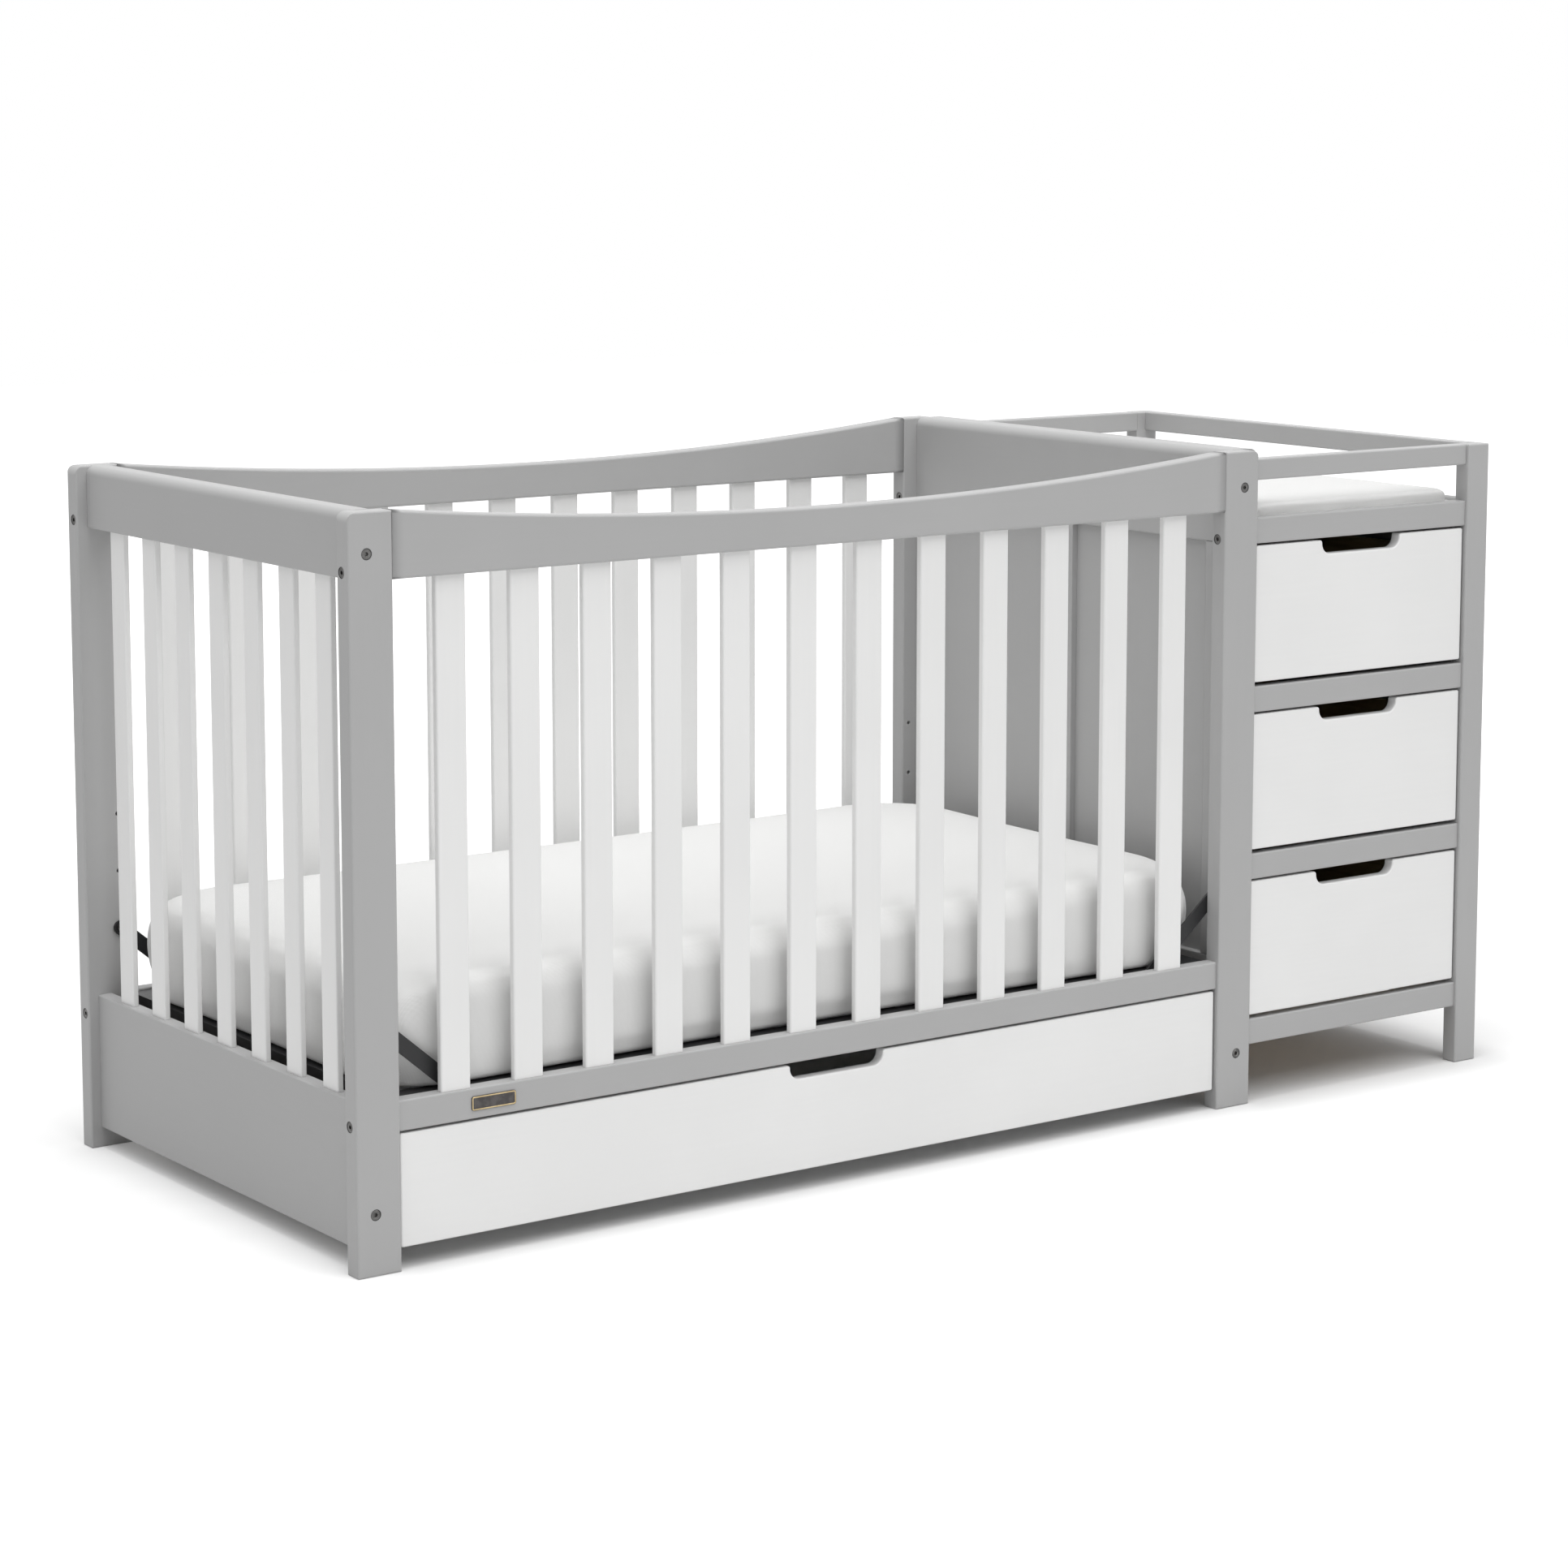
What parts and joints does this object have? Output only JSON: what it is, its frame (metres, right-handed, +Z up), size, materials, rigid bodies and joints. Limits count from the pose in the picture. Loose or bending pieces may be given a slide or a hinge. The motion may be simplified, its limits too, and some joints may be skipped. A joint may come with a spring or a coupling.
{
  "type": "crib with changer",
  "caption": "Slatted crib with dipped top rails, mattress and under-crib drawer, joined to a changer with guard rails, a pad and a stack of drawers.",
  "frame": {"origin": "on the floor, under the middle of the whole piece of furniture", "axes": "+X along the length towards the changer, +Y from the front to the back, +Z up"},
  "size_m": [1.913, 0.769, 0.94],
  "materials": {
    "grey_paint": "satin grey paint",
    "white_paint": "satin white paint",
    "drawer_wood": "clear lacquered, matt",
    "black_steel": "black powder coat",
    "white_steel": "white powder coat",
    "cushion_cover": "matt woven cover",
    "bolt_steel": "black oxide, oiled",
    "plate_brass": "brushed, bare"
  },
  "bodies": {
    "frame": {"post_front_left": "grey_paint", "post_back_left": "grey_paint", "post_front_right": "grey_paint", "post_back_right": "grey_paint", "front_top_rail": "grey_paint", "front_bottom_rail": "grey_paint", "front_slats": "white_paint", "back_top_rail": "grey_paint", "back_bottom_rail": "grey_paint", "back_slats": "white_paint", "left_top_rail": "grey_paint", "left_bottom_board": "grey_paint", "left_slats": "white_paint", "right_top_board": "grey_paint", "right_bottom_board": "grey_paint", "right_stiles": "grey_paint", "right_panels": "grey_paint", "mattress_support": "black_steel", "hanger_straps": "black_steel", "crib_drawer_guides": "drawer_wood", "changer_leg_front": "grey_paint", "changer_leg_back": "grey_paint", "guard_rail_front": "grey_paint", "guard_rail_side": "grey_paint", "guard_rail_back": "grey_paint", "platform_rail": "grey_paint", "upper_divider_rail": "grey_paint", "lower_divider_rail": "grey_paint", "changer_bottom_rail": "grey_paint", "changing_deck": "white_paint", "changer_side_frame": "grey_paint", "changer_side_panel": "grey_paint", "changer_inner_panel": "grey_paint", "changer_back_panel": "grey_paint", "changer_back_rails": "grey_paint", "changer_slides": "white_steel", "frame_fasteners": "bolt_steel", "rail_plate": "plate_brass"},
    "crib_drawer": {"crib_drawer_front": "white_paint", "crib_drawer_sides": "white_paint", "crib_drawer_back": "white_paint", "crib_drawer_bottom": "white_paint", "crib_drawer_runners": "drawer_wood"},
    "top_drawer": {"top_drawer_front": "white_paint", "top_drawer_sides": "drawer_wood", "top_drawer_back": "drawer_wood", "top_drawer_bottom": "drawer_wood", "top_drawer_slides": "white_steel"},
    "middle_drawer": {"middle_drawer_front": "white_paint", "middle_drawer_sides": "drawer_wood", "middle_drawer_back": "drawer_wood", "middle_drawer_bottom": "drawer_wood", "middle_drawer_slides": "white_steel"},
    "bottom_drawer": {"bottom_drawer_front": "white_paint", "bottom_drawer_sides": "drawer_wood", "bottom_drawer_back": "drawer_wood", "bottom_drawer_bottom": "drawer_wood", "bottom_drawer_slides": "white_steel"},
    "mattress_body": {"mattress": "cushion_cover"},
    "pad_body": {"changing_pad": "cushion_cover"}
  },
  "joints": [
    {"name": "crib_drawer_slide", "type": "slide", "parent": "frame", "child": "crib_drawer", "axis": [0, -1, 0], "range_m": [0, 0.43]},
    {"name": "top_drawer_slide", "type": "slide", "parent": "frame", "child": "top_drawer", "axis": [0, -1, 0], "range_m": [0, 0.38]},
    {"name": "middle_drawer_slide", "type": "slide", "parent": "frame", "child": "middle_drawer", "axis": [0, -1, 0], "range_m": [0, 0.38]},
    {"name": "bottom_drawer_slide", "type": "slide", "parent": "frame", "child": "bottom_drawer", "axis": [0, -1, 0], "range_m": [0, 0.38]},
    {"name": "mattress_lift", "type": "slide", "parent": "frame", "child": "mattress_body", "axis": [0, 0, 1], "range_m": [0, 0.6]},
    {"name": "pad_lift", "type": "slide", "parent": "frame", "child": "pad_body", "axis": [0, 0, 1], "range_m": [0, 0.3]}
  ]
}
